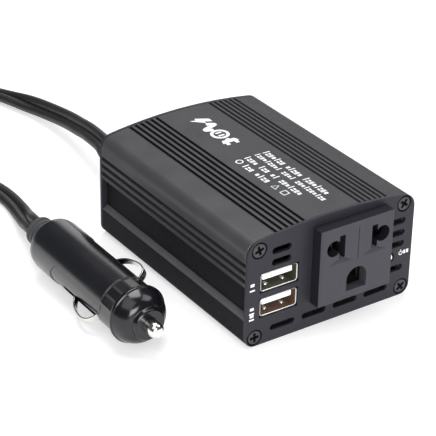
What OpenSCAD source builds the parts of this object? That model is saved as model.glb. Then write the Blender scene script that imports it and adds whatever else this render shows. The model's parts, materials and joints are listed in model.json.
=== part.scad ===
// Power inverter: an aluminium casing with a mains socket, two USB ports and a fan,
// on a flat two-core cord that ends in a fused 12 V accessory plug.
// Millimetres. +X is to the right, the sockets face -Y, +Z is up, and the origin is on the
// ground under the middle of the inverter itself.

/* [Casing] */
// Width of the casing
case_w = 65; // [64:0.5:70]
// Length of the casing from front plate to rear plate
case_len = 87.3; // [84:0.5:110]
// Height at the middle of the arched top
case_h = 39.4; // [39:0.2:42]
// Radius of the arch across the top
arch_r = 180; // [140:10:400]
// Radius of the two upper long edges
top_edge_r = 5; // [4:0.5:6]
// Radius of the two lower long edges
base_edge_r = 3.6; // [3:0.2:4]
// Thickness of each end plate
plate_t = 1.3; // [1.3:0.1:2]
// Thickness of the floor of the lower case
floor_t = 2; // [1.5:0.1:2.5]
// Thickness of the roof, fins included
roof_t = 2.6; // [2.2:0.1:3]

/* [Cooling fins] */
// Grooves in each of the two roof groups
fin_count = 6; // [3:1:6]
// Distance from groove to groove
fin_pitch = 2.07; // [1.8:0.01:2.2]
// Width of a roof groove
fin_gap = 1.05; // [0.8:0.05:1.2]
// Depth of a roof groove
fin_depth = 1; // [0.5:0.1:1.2]
// Distance of the first groove from the middle
fin_start = 10.95; // [9:0.05:12]
// Depth of the flat recess along each side
side_recess = 2; // [1:0.1:2.2]

/* [Mains socket] */
// Width of the socket block
sock_w = 28.6; // [28:0.2:29]
// Height of the socket block
sock_h = 27; // [26:0.2:28]
// How far the block stands out of the front plate
sock_out = 4.8; // [3:0.1:6]
// Distance between the two flat blades
blade_pitch = 12.7; // [12.6:0.1:12.8]
// Distance between the two round pins
pin_pitch = 19; // [18.8:0.1:19.2]
// Radius of a round pin hole
pin_hole_r = 2.75; // [2.6:0.05:2.8]

/* [Cord and plug] */
// Width of the flat cord
cord_w = 7; // [6.6:0.1:7.2]
// Thickness of the flat cord
cord_t = 3.5; // [3.2:0.1:3.5]
// Middle radius of the coil that stows the rest of the cord
coil_r = 36; // [36:0.5:37]
// Radius of the plug's barrel
barrel_r = 9.3; // [9:0.1:9.4]
// How far the plug is rolled about its own axis
plug_roll = 28.5; // [20:0.5:35]
// Travel of the centre pin
pin_travel = 4; // [2:0.5:4]

/* [Hidden] */
$fn = 48;
eps = 0.01;

// Places along Y
front_y = sock_out - (case_len + sock_out) / 2;
face_y = front_y - sock_out;
rear_y = front_y + case_len;
case_y0 = front_y + plate_t;
case_y1 = rear_y - plate_t;

// Casing section
half_w = case_w / 2;
inner_x = half_w - side_recess - 1.8;
recess_x = half_w - side_recess;
rail_z = [23.1, 25.85, 28.65];
rail_gap = 1.3;
rail_depth = 1.4;
recess_top = 21.7;
shoulder_out = 9.9;
shoulder_in = 11.1;
tongue_t = 0.9;
tongue_h = 1.9;
seam = 0.05;
screw_at = [[-28.1, 34.07], [28.1, 34.07], [-29, 3.19], [29, 3.19]];
screw_channel_r = 2.7;
screw_r = 1.45;
screw_hole_r = 1.5;

// Front plate
vent_h = 2.15;
sock_x = 6.3;
sock_z = 22.7;
sock_body_w = 27.4;
sock_body_h = 25.6;
sock_body_depth = 12;
sock_face_t = 3.5;
pin_z = 29.4;
ramp_z = 23.4;
blade_w = 2.2;
blade_h = 7.8;
earth_z = 12.3;
earth_w = 7.9;
earth_h = 7.9;
usb_x = -20.2;
usb_z = [13.3, 22.2];
usb_w = 13.2;
usb_h = 5.7;
usb_skin = 0.35;
usb_in = 0.3;
usb_flare = 0.4;
usb_len = 14.5;
led_at = [23.2, 15.7];

// Inside
board_z = 7;
board_t = 1.6;
board_top = board_z + board_t;
post_at = [[-24, -33], [24, -33], [-24, 30], [24, 30]];
fan_at = [10, 19.5];
fan_size = 30;
fan_depth = 10;
fan_y = case_y1 - fan_depth - 0.1;
fan_screw_pitch = 24;
fan_screw_at = [for (i = [-1, 1], j = [-1, 1]) fan_at + fan_screw_pitch / 2 * [i, j]];

// Cord and plug
gland_at = [-15, 14];
gland_len = 15.9;
plug_x = -58;
plug_z = 9.9;
nose_y = 14.5 + front_y;
coil_at = [-74.5, 147];
fuse_from = 15.2;
fuse_len = 30;
leaf_w = 2.6;
leaf_t = 0.45;

// The route of the cord from the gland to the coil, and from the coil to the plug
route_out = [
    [-15, 62, 14], [-14.6, 67, 14.1], [-13, 74, 14.1], [-11, 80.6, 13.8], [-9.3, 90, 12.6],
    [-8.2, 96.6, 11.5], [-7.4, 102.9, 10.2], [-6.6, 109.2, 9], [-6, 115.3, 7.8], [-5.8, 122, 6.6],
    [-5.9, 128.5, 5.5], [-6.4, 134, 4.8], [-7.3, 140, 4.1], [-9.3, 149, 3.2], [-12, 158, 2.4],
    [-16.3, 166.2, 1.9], [-22.8, 173.3, 1.75], [-32, 178.8, 1.75], [-43, 182.2, 1.75],
    [-54, 183.5, 1.75], [-65, 183.4, 1.75], [-74.5, 183, 1.75]
];
route_in = [
    [-74.5, 111, 5.25], [-66, 109.5, 5], [-58.4, 105.2, 4], [-52.9, 98.5, 2.6],
    [-49.9, 90.4, 1.85], [-49.2, 82, 1.75], [-49.9, 74, 2], [-51.8, 66, 3.2],
    [-54.3, 58.5, 5.7], [-56.6, 51.5, 8.3], [-57.8, 46.5, 9.6], [-58, 43.3, 9.9]
];

function arc(c, r, a0, a1, n) =
    [for (i = [0:n]) let (a = a0 + (a1 - a0) * i / n) c + r * [cos(a), sin(a)]];

// The casing's section as a closed outline, from z0 up to the crown at h
function outline(w, z0, h, r_arch, r_top, r_base) =
    let (
        xt = w / 2 - r_top,
        zc = h - r_arch,
        zt = zc + sqrt(pow(r_arch - r_top, 2) - xt * xt),
        a = atan2(zt - zc, xt)
    ) concat(
        arc([w / 2 - r_base, z0 + r_base], r_base, -90, 0, 6),
        arc([xt, zt], r_top, 0, a, 8),
        arc([0, zc], r_arch, a, 180 - a, 24),
        arc([-xt, zt], r_top, 180 - a, 180, 8),
        arc([r_base - w / 2, z0 + r_base], r_base, 180, 270, 6)
    );

function crown(x) = case_h - arch_r + sqrt(arch_r * arch_r - x * x);

// A child drawn in X and Z, extruded along Y from y0 to y1
module along_y(y0, y1) {
    translate([0, y1, 0]) rotate([90, 0, 0]) linear_extrude(y1 - y0) children();
}

// A round bar along Y at x, z, with radius r0 at y0 and r1 at y1
module rod_y(at, r0, r1, y0, y1) {
    translate([at[0], y1, at[1]]) rotate([90, 0, 0]) cylinder(h = y1 - y0, r1 = r1, r2 = r0);
}

// A slot with round ends, w long and h high
module slot(w, h) {
    square([w - h, h], center = true);
    for (s = [-1, 1]) translate([s * (w - h) / 2, 0]) circle(d = h);
}

module full_section() { polygon(outline(case_w, 0, case_h, arch_r, top_edge_r, base_edge_r)); }

module cavity_section() {
    polygon(outline(2 * inner_x, floor_t, case_h - roof_t, arch_r - roof_t, 3, 1));
}

module screw_channels(pair) {
    for (i = pair) translate(screw_at[i]) circle(screw_channel_r);
}

module channel_holes(pair) {
    for (i = pair) translate(screw_at[i]) circle(screw_hole_r);
}

module upper_section() {
    difference() {
        union() {
            difference() {
                intersection() {
                    full_section();
                    translate([-half_w, shoulder_in + seam]) square([case_w, case_h]);
                }
                cavity_section();
            }
            intersection() {
                full_section();
                screw_channels([0, 1]);
            }
            for (s = [0, 1]) mirror([s, 0])
                translate([inner_x, shoulder_in - tongue_h]) square([tongue_t, tongue_h + 1]);
        }
        channel_holes([0, 1]);
        for (s = [0, 1]) mirror([s, 0]) {
            translate([recess_x, 0]) square([side_recess + 1, recess_top]);
            for (z = rail_z) translate([half_w - rail_depth, z]) square([rail_depth + 1, rail_gap]);
            for (i = [0:fin_count - 1]) let (x = fin_start + i * fin_pitch)
                translate([x - fin_gap / 2, crown(x) - fin_depth]) square([fin_gap, fin_depth + 1]);
        }
    }
}

module lower_section() {
    tray = [
        [-half_w, 0], [half_w, 0], [half_w, shoulder_out], [recess_x, shoulder_in],
        [-recess_x, shoulder_in], [-half_w, shoulder_out]
    ];
    difference() {
        union() {
            difference() {
                intersection() {
                    full_section();
                    polygon(tray);
                }
                cavity_section();
            }
            intersection() {
                full_section();
                screw_channels([2, 3]);
            }
        }
        channel_holes([2, 3]);
        for (s = [0, 1]) mirror([s, 0])
            translate([inner_x - 1, shoulder_in - tongue_h - seam])
                square([1 + tongue_t + seam, tongue_h + 1]);
    }
}

// Extruded roof with cooling fins, ribbed rails and recessed side walls
module upper_case() {
    color("#57575c") difference() {
        along_y(case_y0, case_y1) upper_section();
        for (s = [-1, 1], y = clamp_y) translate([s * (inner_x - 0.1), y, clamp_z])
            rotate([0, s * 90, 0]) cylinder(h = 1.3, r = 1);
    }
}

// Extruded tray with the sloping shoulder along each side and the board's posts
module lower_case() {
    color("#3d3d42") {
        along_y(case_y0, case_y1) lower_section();
        for (p = post_at) translate([p[0], p[1], floor_t]) difference() {
            cylinder(h = board_z - floor_t, r = 2.6);
            translate([0, 0, 1]) cylinder(h = board_z, r = 1.2);
        }
    }
}

// Countersunk screw holes of an end plate; out is -1 at the front and 1 behind
module plate_screw_holes(places, y, out) {
    for (p = places) {
        rod_y(p, 1.6, 1.6, y - 3, y + 3);
        if (out < 0) rod_y(p, 2.85 + 0.05, 1.6, y - 0.05, y + 1.25);
        else rod_y(p, 1.6, 2.85 + 0.05, y - 1.25, y + 0.05);
    }
}

module front_openings() {
    for (z = [28.25, 32.35]) translate([-19.65, z]) slot(7.3, 2.3);
    for (i = [0:3]) translate([(i - 1.5) * 12.3, 4.85]) slot(9.5, 2);
    for (z = [10.8, 19.7, 23.8, 28.1]) translate([25.7, z]) slot(6.7, vent_h);
    for (z = usb_z) translate([usb_x, z]) square([14.6, 7], center = true);
    translate([sock_x, sock_z]) square([sock_body_w + 0.4, sock_body_h + 0.4], center = true);
    translate(led_at) circle(1.62);
}

module front_plate() {
    color("#4d4c56") difference() {
        along_y(front_y, case_y0) difference() {
            full_section();
            front_openings();
        }
        plate_screw_holes(screw_at, front_y, -1);
    }
}

// Slots over the fan, each as long as the fan's circle allows
module rear_openings() {
    for (i = [-2.5:2.5]) let (z = i * 4.2)
        translate([fan_at[0], fan_at[1] + z]) slot(2 * sqrt(13 * 13 - z * z), 2.2);
    translate(gland_at) circle(4.6);
}

module rear_plate() {
    color("#4d4c56") difference() {
        along_y(case_y1, rear_y) difference() {
            full_section();
            rear_openings();
        }
        plate_screw_holes(concat(screw_at, fan_screw_at), rear_y, 1);
    }
}

// A countersunk cross-head screw that enters along +Y, its face at the origin
module flat_screw(len) {
    difference() {
        union() {
            rod_y([0, 0], 2.62, 1.45, 0.15, 1.3);
            rod_y([0, 0], screw_r, screw_r, 1.25, len);
        }
        cube([2.8, 1.6, 0.6], center = true);
        cube([0.6, 1.6, 2.8], center = true);
    }
}

module front_screws() {
    color("silver") for (p = screw_at) translate([p[0], front_y, p[1]]) flat_screw(9);
}

module rear_screws() {
    color("silver") for (p = screw_at)
        translate([p[0], rear_y, p[1]]) rotate([0, 0, 180]) flat_screw(9);
}

// The bevelled front block, as the meeting of three profiles
module socket_block() {
    bevel = 0.7;
    intersection() {
        translate([sock_x, (face_y + front_y) / 2, sock_z])
            cube([sock_w, sock_out, sock_h], center = true);
        translate([0, 0, sock_z - sock_h]) linear_extrude(2 * sock_h) polygon([
            [sock_x - sock_w / 2, front_y], [sock_x - sock_w / 2, face_y + bevel],
            [sock_x - sock_w / 2 + bevel, face_y], [sock_x + sock_w / 2 - bevel, face_y],
            [sock_x + sock_w / 2, face_y + bevel], [sock_x + sock_w / 2, front_y]
        ]);
        translate([sock_x - sock_w, 0, 0]) rotate([90, 0, 90]) linear_extrude(2 * sock_w) polygon([
            [front_y, sock_z - sock_h / 2], [front_y, sock_z + sock_h / 2],
            [face_y + bevel, sock_z + sock_h / 2], [face_y, sock_z + sock_h / 2 - bevel],
            [face_y, sock_z - sock_h / 2 + bevel], [face_y + bevel, sock_z - sock_h / 2]
        ]);
    }
}

// The shallow ramp that leads a blade up into its slot; s is -1 on the left
module lead_in_ramp(s) {
    intersection() {
        along_y(face_y - 1, face_y + 2) translate([sock_x, 0])
            polygon([[s * 1.8, ramp_z], [s * 6.35, ramp_z + 2.3], [s * 11.8, ramp_z]]);
        translate([sock_x - 20, face_y, ramp_z]) rotate([-30, 0, 0]) translate([0, -6, 0]) cube([40, 6, 6]);
    }
}

module earth_opening() {
    translate([sock_x, earth_z + earth_h - earth_w / 2]) circle(earth_w / 2);
    translate([sock_x - earth_w / 2, earth_z]) square([earth_w, earth_h - earth_w / 2]);
}

module socket_housing() {
    back = front_y + sock_body_depth;
    color("#54535c") difference() {
        union() {
            socket_block();
            translate([sock_x, (front_y + back) / 2, sock_z])
                cube([sock_body_w, sock_body_depth + 2 * eps, sock_body_h], center = true);
        }
        for (s = [-1, 1]) {
            translate([sock_x + s * blade_pitch / 2, face_y, pin_z])
                cube([blade_w, 4 * sock_face_t, blade_h], center = true);
            rod_y([sock_x + s * pin_pitch / 2, pin_z], pin_hole_r, pin_hole_r,
                  face_y - 1, face_y + sock_face_t + 1);
            lead_in_ramp(s);
            translate([sock_x + s * 8.1 - 5.1, face_y + sock_face_t, pin_z - 4.6])
                cube([10.2, 30, 9.2]);
        }
        translate([sock_x - 0.2, face_y - 1, ramp_z]) cube([0.4, 1.2, 11]);
        along_y(face_y - 1, face_y + 2 * sock_face_t) earth_opening();
        translate([sock_x - 5, face_y + sock_face_t, 11.4]) cube([10, 30, 10]);
    }
}

// One live contact: two leaves either side of the blade and a cup round the round pin
module live_contact() {
    y0 = face_y + sock_face_t + 0.4;
    for (x = [-1.5, 1.0]) translate([x, y0, -3.5]) cube([0.5, 11, 7]);
    translate([-1.5, y0 + 10.5, -3.5]) cube([3, 0.5, 7]);
    translate([-0.6, y0 + 10.9, -1.2]) cube([1.2, 4.6, 2.4]);
}

module socket_contacts() {
    color("#b8923a") for (s = [-1, 1])
        translate([sock_x + s * blade_pitch / 2, 0, pin_z]) live_contact();
}

module earth_contact() {
    y0 = face_y + sock_face_t + 0.4;
    color("#b8923a") translate([sock_x, 0, earth_z + 3.9]) {
        for (x = [-3.4, 2.9]) translate([x, y0, -2.6]) cube([0.5, 9, 5.2]);
        translate([-3.4, y0 + 8.9, -2.6]) cube([6.8, 0.5, 5.2]);
        translate([-0.6, y0 + 9.3, -1.2]) cube([1.2, 5, 2.4]);
    }
}

// A rectangle's corners about x, z at y, grown by g on every side
function port_ring(z, y, g) = let (w = usb_w / 2 + g, h = usb_h / 2 + g)
    [for (c = [[-w, -h], [w, -h], [w, h], [-w, h]]) [usb_x + c[0], y, z + c[1]]];

// A port shell with a flared lip, open at the front and closed behind
module usb_shell(z) {
    y = [front_y + usb_in, front_y + usb_in + 0.2, front_y + usb_in + 1.2];
    end = front_y + usb_len;
    difference() {
        skin([port_ring(z, y[0], usb_flare), port_ring(z, y[1], usb_flare), port_ring(z, y[2], 0),
              port_ring(z, end, 0)]);
        skin([port_ring(z, y[0] - 1, usb_flare - usb_skin), port_ring(z, y[1], usb_flare - usb_skin),
              port_ring(z, y[2], -usb_skin), port_ring(z, end - 0.6, -usb_skin)]);
    }
}

module usb_shell_upper() { color("silver") usb_shell(usb_z[1]); }
module usb_shell_lower() { color("silver") usb_shell(usb_z[0]); }

module usb_tongues() {
    tip = 1.2;
    color("white") for (z = usb_z) translate([usb_x - 5.55, front_y + tip, z + 0.25])
        cube([11.1, usb_len - 0.65 - tip, 1.84]);
}

module usb_board() {
    color("darkgreen") translate([usb_x - 7.6, front_y + usb_len + 0.05, board_top + 0.05])
        cube([15.6, 1.2, 20]);
}

module led_bezel() {
    color("#222226") difference() {
        union() {
            rod_y(led_at, 1.95, 1.95, front_y - 0.4, front_y);
            rod_y(led_at, 1.6, 1.6, front_y - eps, case_y0 + 1);
        }
        rod_y(led_at, 1.3, 1.3, front_y - 1, case_y0 + 2);
    }
}

module led_lens() {
    color("palegreen") {
        rod_y(led_at, 0.9, 1.28, front_y - 0.5, front_y - 0.15);
        rod_y(led_at, 1.28, 1.28, front_y - 0.15, case_y0 + 1.4);
        rod_y(led_at, 1.8, 1.8, case_y0 + 1.05, case_y0 + 1.8);
        for (x = [-0.9, 0.4]) translate([led_at[0] + x, case_y0 + 1.7, led_at[1] - 0.25])
            cube([0.5, 8, 0.5]);
    }
}

module main_board() {
    color("darkgreen") difference() {
        translate([-27.4, -37, board_z]) cube([54.8, 70.5, board_t]);
        for (p = post_at) translate([p[0], p[1], board_z - 1]) cylinder(h = 4, r = 1.6);
    }
}

module board_screws() {
    color("silver") for (p = post_at) translate([p[0], p[1], board_top]) {
        translate([0, 0, -5]) cylinder(h = 5.1, r = 1.15);
        difference() {
            translate([0, 0, 0.02]) cylinder(h = 1.6, r = 2.6);
            for (a = [0, 90]) translate([0, 0, 1.6]) rotate(a) cube([3, 0.6, 1.4], center = true);
        }
    }
}

core_at = [0, 5];
core_h = 21;

// Ferrite core with two windows and a middle leg
module transformer_core() {
    color("#2b2b2d") translate([core_at[0], core_at[1], board_top + 1]) difference() {
        translate([-13, -5, 0]) cube([26, 10, core_h]);
        for (s = [-1, 1]) translate([s * 6.75 - 3.25, -6, 3]) cube([6.5, 12, core_h - 6]);
    }
}

// Bobbin and windings round the middle leg, wrapped in tape
module transformer_winding() {
    color("goldenrod") translate([core_at[0], core_at[1], board_top + 4.1]) difference() {
        translate([-9.6, -10.5, 0]) cube([19.2, 21, core_h - 6.2]);
        translate([-3.6, -5.1, -1]) cube([7.2, 10.2, core_h]);
    }
    color("goldenrod") translate([core_at[0], core_at[1], board_top]) for (s = [-1, 1])
        translate([-8, s * 8.5 - 1.5, 0]) cube([16, 3, 4.2]);
}

switch_y = [-5, 7, 19];
clamp_y = [1, 13];
clamp_z = 20;

// A power transistor standing on its legs against the right-hand wall
module transistor() {
    translate([-1.3, -5, 3.5]) cube([1.3, 10, 15.5]);
    translate([-4.4, -5, 3.5]) cube([3.15, 10, 9]);
    for (y = [-2.54, 0, 2.54]) translate([-2.8, y - 0.4, 0]) cube([0.5, 0.8, 3.6]);
}

module switch_transistors() {
    color("#1d1d1f") for (s = [0, 1], y = switch_y) mirror([s, 0, 0])
        translate([inner_x - 0.45, y, board_top]) transistor();
}

module heat_pads() {
    color("#7d8fa0") for (s = [0, 1]) mirror([s, 0, 0]) difference() {
        translate([inner_x - 0.4, -11, board_top + 3]) cube([0.35, 36, 15.5]);
        for (y = clamp_y) translate([inner_x - 1, y, clamp_z]) rotate([0, 90, 0]) cylinder(h = 2, r = 1.1);
    }
}

module clamp_bars() {
    color("silver") for (s = [0, 1]) mirror([s, 0, 0]) difference() {
        translate([inner_x - 7, -10, clamp_z - 2.2]) cube([2.1, 33, 4.4]);
        for (y = clamp_y) translate([inner_x - 8, y, clamp_z]) rotate([0, 90, 0]) cylinder(h = 4, r = 1.1);
    }
}

module clamp_screws() {
    color("silver") for (s = [0, 1], y = clamp_y) mirror([s, 0, 0])
        translate([inner_x, y, clamp_z]) rotate([0, 90, 0]) {
            translate([0, 0, -7.1]) cylinder(h = 8.1, r = 0.95);
            translate([0, 0, -8.8]) cylinder(h = 1.75, r = 2);
        }
}

// A can capacitor with a scored vent on its top
module can(r, h) {
    difference() {
        cylinder(h = h, r = r);
        for (a = [0, 90]) translate([0, 0, h]) rotate(a) cube([1.4 * r, 0.3, 0.6], center = true);
        translate([0, 0, 2]) rotate_extrude() translate([r, 0]) circle(0.4);
    }
}

module input_capacitors() {
    color("midnightblue") for (x = [-6, 5.5, 17]) translate([x, 26, board_top]) can(4.9, 19);
}

module bulk_capacitor() {
    color("midnightblue") translate([-19.5, -17.5, board_top]) can(6.3, 22);
}

choke_at = [17, -15.5, 18];

module choke_core() {
    color("#3f6b46") translate(choke_at) rotate([90, 0, 0]) rotate_extrude()
        translate([3.6, -2.4]) square([3.4, 4.8]);
}

module choke_winding() {
    color("#b5602a") translate(choke_at) rotate([90, 0, 0]) for (i = [0:13])
        rotate(i * 360 / 14) translate([5.3, 0, 0]) rotate([90, 0, 0]) rotate_extrude()
            translate([3.3, 0]) circle(0.3);
}

module control_chips() {
    color("#1d1d1f") for (p = [[-4, -18], [4, -18]]) translate([p[0] - 3, p[1] - 5, board_top]) {
        translate([0, 0, 0.5]) cube([6, 10, 3.3]);
        for (i = [0:3], x = [-0.8, 6]) translate([x, 0.8 + i * 2.54, 0]) cube([0.8, 0.6, 2]);
    }
}

module fan_frame() {
    half = fan_size / 2;
    c = [fan_at[0], 0, fan_at[1]];
    color("#1b1b1d") {
        difference() {
            translate([c[0] - half, fan_y, c[2] - half]) cube([fan_size, fan_depth, fan_size]);
            rod_y(fan_at, 13.8, 13.8, fan_y - 1, fan_y + fan_depth + 1);
            for (p = fan_screw_at) rod_y(p, 1.5, 1.5, fan_y - 1, fan_y + fan_depth + 1);
        }
        rod_y(fan_at, 6, 6, fan_y, fan_y + 1.2);
        rod_y(fan_at, 1.9, 1.9, fan_y + 1.1, fan_y + 4);
        for (a = [45, 135, 225, 315]) translate([c[0], fan_y + 0.6, c[2]]) rotate([0, a, 0])
            translate([9.9, 0, 0]) cube([8.6, 1.2, 1.6], center = true);
    }
}

// Hub, shaft and seven pitched blades
module fan_rotor() {
    hub_y = fan_y + 1.5;
    color("#26262a") {
        difference() {
            rod_y(fan_at, 6, 6, hub_y, fan_y + fan_depth - 0.8);
            rod_y(fan_at, 1.95, 1.95, hub_y - 1, fan_y + 4.3);
        }
        for (i = [0:6]) translate([fan_at[0], 0, fan_at[1]]) rotate([0, i * 360 / 7, 0])
            intersection() {
                translate([9.2, (hub_y + fan_y + fan_depth - 0.8) / 2, 0]) rotate([38, 0, 0])
                    cube([7.2, 8.4, 0.9], center = true);
                rod_y([0, 0], 13.2, 13.2, hub_y + 0.2, fan_y + fan_depth - 1);
            }
    }
}

module fan_screws() {
    color("silver") for (p = fan_screw_at)
        translate([p[0], rear_y, p[1]]) rotate([0, 0, 180]) flat_screw(9);
}

// Two short wires from the cord down to the board
module supply_wires() {
    color("firebrick") for (x = [-1.7, 1.7]) {
        rod_y([gland_at[0] + x, gland_at[1]], 0.9, 0.9, 31, 38.9);
        translate([gland_at[0] + x, 31, gland_at[1]]) sphere(0.9);
        translate([gland_at[0] + x, 31, board_top]) cylinder(h = gland_at[1] - board_top, r = 0.9);
    }
}

// Rubber gland: inner lock, neck in the rear plate, flange and tapering boot
module cord_gland() {
    y0 = case_y1 - 5;
    profile = [
        [0, y0], [4.5, y0], [5.6, y0 + 1.2], [5.6, case_y1 - 0.05], [4.5, case_y1 - 0.05],
        [4.5, rear_y + 0.05], [6.6, rear_y + 0.05], [6.6, rear_y + 1.6], [5.6, rear_y + 2.4],
        [4.3, rear_y + gland_len - 0.6], [3.9, rear_y + gland_len], [0, rear_y + gland_len]
    ];
    color("#1a1a1c") translate([gland_at[0], 0, gland_at[1]]) rotate([-90, 0, 0])
        rotate_extrude() polygon(profile);
}

function unit(v) = v / norm(v);

// A smooth curve through the route's points, with one more point between each pair
function smooth(p) = [
    for (i = [0:len(p) - 2]) let (
        a = p[max(i - 1, 0)], b = p[i], c = p[i + 1], d = p[min(i + 2, len(p) - 1)]
    ) each [b, (9 * (b + c) - a - d) / 16],
    p[len(p) - 1]
];

// The flat cord's section at one point: two round edges joined by flats, twelve corners
function cord_ring(p, t) = let (
    w = unit([t[1], -t[0], 0]), u = cross(w, t), flat = (cord_w - cord_t) / 2, r = cord_t / 2
) [for (k = [0:11]) let (a = 30 * k + 15)
    p + w * (r * cos(a) + flat * sign(cos(a))) + u * r * sin(a)];

// A closed tube of n-cornered rings
module skin(rings) {
    n = len(rings[0]);
    m = len(rings);
    polyhedron(
        points = [for (r = rings) each r],
        faces = concat(
            [[for (k = [0:n - 1]) n - 1 - k]],
            [for (i = [0:m - 2], k = [0:n - 1]) each [
                [i * n + k, i * n + (k + 1) % n, (i + 1) * n + k],
                [i * n + (k + 1) % n, (i + 1) * n + (k + 1) % n, (i + 1) * n + k]
            ]],
            [[for (k = [0:n - 1]) (m - 1) * n + k]]
        ),
        convexity = 6
    );
}

function direction(p, i) = unit(p[min(i + 1, len(p) - 1)] - p[max(i - 1, 0)]);

module cord_tube(route, first, last) {
    p = smooth(route);
    m = len(p);
    skin([for (i = [0:m - 1])
        cord_ring(p[i], i == 0 ? first : i == m - 1 ? last : direction(p, i))]);
}

module cord_lead_out() { color("#1a1a1c") cord_tube(route_out, [0, 1, 0], [-1, 0, 0]); }
module cord_lead_in() { color("#1a1a1c") cord_tube(route_in, [1, 0, 0], [0, -1, 0]); }

module cord_coil() {
    half = cord_w / 2 + 0.2;
    color("#1a1a1c") translate([coil_at[0], coil_at[1], 0]) rotate_extrude($fn = 72)
        polygon(concat(
            arc([coil_r + half - 1.4, 1.4], 1.4, -90, 0, 3),
            arc([coil_r + half - 1.4, 2 * cord_t - 1.2], 1.4, 0, 90, 3),
            arc([coil_r - half + 1.4, 2 * cord_t - 1.2], 1.4, 90, 180, 3),
            arc([coil_r - half + 1.4, 1.4], 1.4, 180, 270, 3)
        ));
}

// The plug is drawn with its axis along +Y from the nose backwards and its side springs at
// -X and +X, then rolled and laid on the ground
module plug_pose() {
    translate([plug_x, nose_y, plug_z]) rotate([0, -plug_roll, 0]) children();
}

// A turned piece: profile points are [radius, distance from the nose]
module turned(profile) {
    rotate([-90, 0, 0]) rotate_extrude($fn = 64) polygon(profile);
}

module plug_boot() {
    color("#232325") plug_pose() turned([
        [0, 62.1], [5.2, 62.1], [5.6, 63], [5.6, 64.6], [5, 65], [5, 65.6], [5.4, 66],
        [5.4, 67], [4.8, 67.4], [4.8, 68], [5.2, 68.4], [5.1, 69.6], [4.4, 70], [0, 70]
    ]);
}

module spring_slot() {
    translate([3.9, 17.4, -1.7]) cube([8, 21.6, 3.4]);
}

// The shallow sunk panel round a side spring, with a rounded rear end
module side_panel() {
    half = 7;
    depth = 0.3;
    difference() {
        rotate([0, 90, 0]) linear_extrude(2 * barrel_r) {
            translate([-half, 8]) square([2 * half, 32]);
            translate([0, 40]) circle(half);
        }
        turned([[0, 7], [barrel_r - depth, 7], [barrel_r - depth, 48], [0, 48]]);
    }
}

module plug_barrel() {
    windows = 6;
    window_step = 21.6;
    window_w = window_step * barrel_r * PI / 180;
    rib = 0.55;
    sunk = 0.5;
    color("#1b1b1e") plug_pose() difference() {
        turned([
            [3.4, 15.1], [3.4, 47.4], [2, 47.4], [2, 62], [6, 62], [7.9, 61.2], [9, 59.6],
            [barrel_r, 57.6], [barrel_r, 8.6], [5.28, 8.6], [5.28, 15.1]
        ]);
        for (s = [0, 1]) mirror([s, 0, 0]) {
            side_panel();
            spring_slot();
        }
        for (s = [0, 1]) mirror([0, 0, s]) for (i = [0:windows - 1])
            rotate([0, -90 + window_step * (i - (windows - 1) / 2), 0])
                translate([barrel_r - sunk, 9.1, (rib - window_w) / 2]) cube([2, 6.2, window_w - rib]);
    }
}

// The cap that screws off to reach the fuse
module nose_cap() {
    color("#1b1b1e") plug_pose() turned([
        [2.68, 0], [5.1, 0], [5.4, 0.3], [5.5, 1.6], [7, 2.4], [8.2, 3.8], [9.1, 5.6], [9.55, 7],
        [9.85, 7.3], [9.85, 8.4], [5.2, 8.4], [5.2, 14.9], [4.3, 14.9], [4.3, 3.4], [2.68, 3.4]
    ]);
}

module pin_washer() {
    color("saddlebrown") plug_pose() turned([[2.68, 3.42], [4.22, 3.42], [4.22, 4.2], [2.68, 4.2]]);
}

module centre_pin() {
    color("silver") plug_pose() turned(concat(
        [[0, -5.2], [1.0, -5.1]], arc([1.3, -3.9], 1.3, -60, 0, 4),
        [[2.62, 4.22], [4.1, 4.22], [4.1, 5.2], [1.6, 5.2], [1.6, 7.2], [0, 7.2]]
    ));
}

// Compression spring between the pin's collar and the fuse
module pin_spring() {
    turns = 4;
    steps = 14;
    wire = 0.35;
    coil = 2.6;
    from = 5.6;
    to = 14.7;
    rings = [for (i = [0:turns * steps]) let (
        a = i * 360 / steps, c = [coil * cos(a), from + (to - from) * i / (turns * steps), coil * sin(a)]
    ) [for (k = [0:5]) let (b = -60 * k)
        c + wire * [cos(b) * cos(a), sin(b), cos(b) * sin(a)]]];
    color("silver") plug_pose() skin(rings);
}

module fuse_glass() {
    color("lightcyan") plug_pose() turned([
        [2.6, fuse_from + 5], [3.0, fuse_from + 5], [3.0, fuse_from + fuse_len - 5],
        [2.6, fuse_from + fuse_len - 5]
    ]);
}

module fuse_caps() {
    color("silver") plug_pose() {
        turned([[0, fuse_from], [3.2, fuse_from], [3.2, fuse_from + 5], [0, fuse_from + 5]]);
        turned([[0, fuse_from + fuse_len - 5], [3.2, fuse_from + fuse_len - 5],
                [3.2, fuse_from + fuse_len], [0, fuse_from + fuse_len]]);
        turned([[0, fuse_from + 4.9], [0.3, fuse_from + 4.9], [0.3, fuse_from + fuse_len - 4.9],
                [0, fuse_from + fuse_len - 4.9]]);
    }
}

module fuse_contact() {
    color("#b8923a") plug_pose() turned([
        [0, 45.3], [3.2, 45.3], [3.2, 46.6], [1.2, 47], [1.2, 53], [0, 53]
    ]);
}

// The leaf's middle line as [distance from the nose, distance from the axis]
leaf_line = [
    [37.5, 4.5], [35, 4.5], [33.6, 6], [32.2, 8.5], [29.5, 10.9], [26, 12.2], [22.6, 12.6],
    [20.2, 11.8], [18.9, 9.8], [18.4, 7.2]
];

function smooth_twice(p) = smooth(smooth(p));

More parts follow.
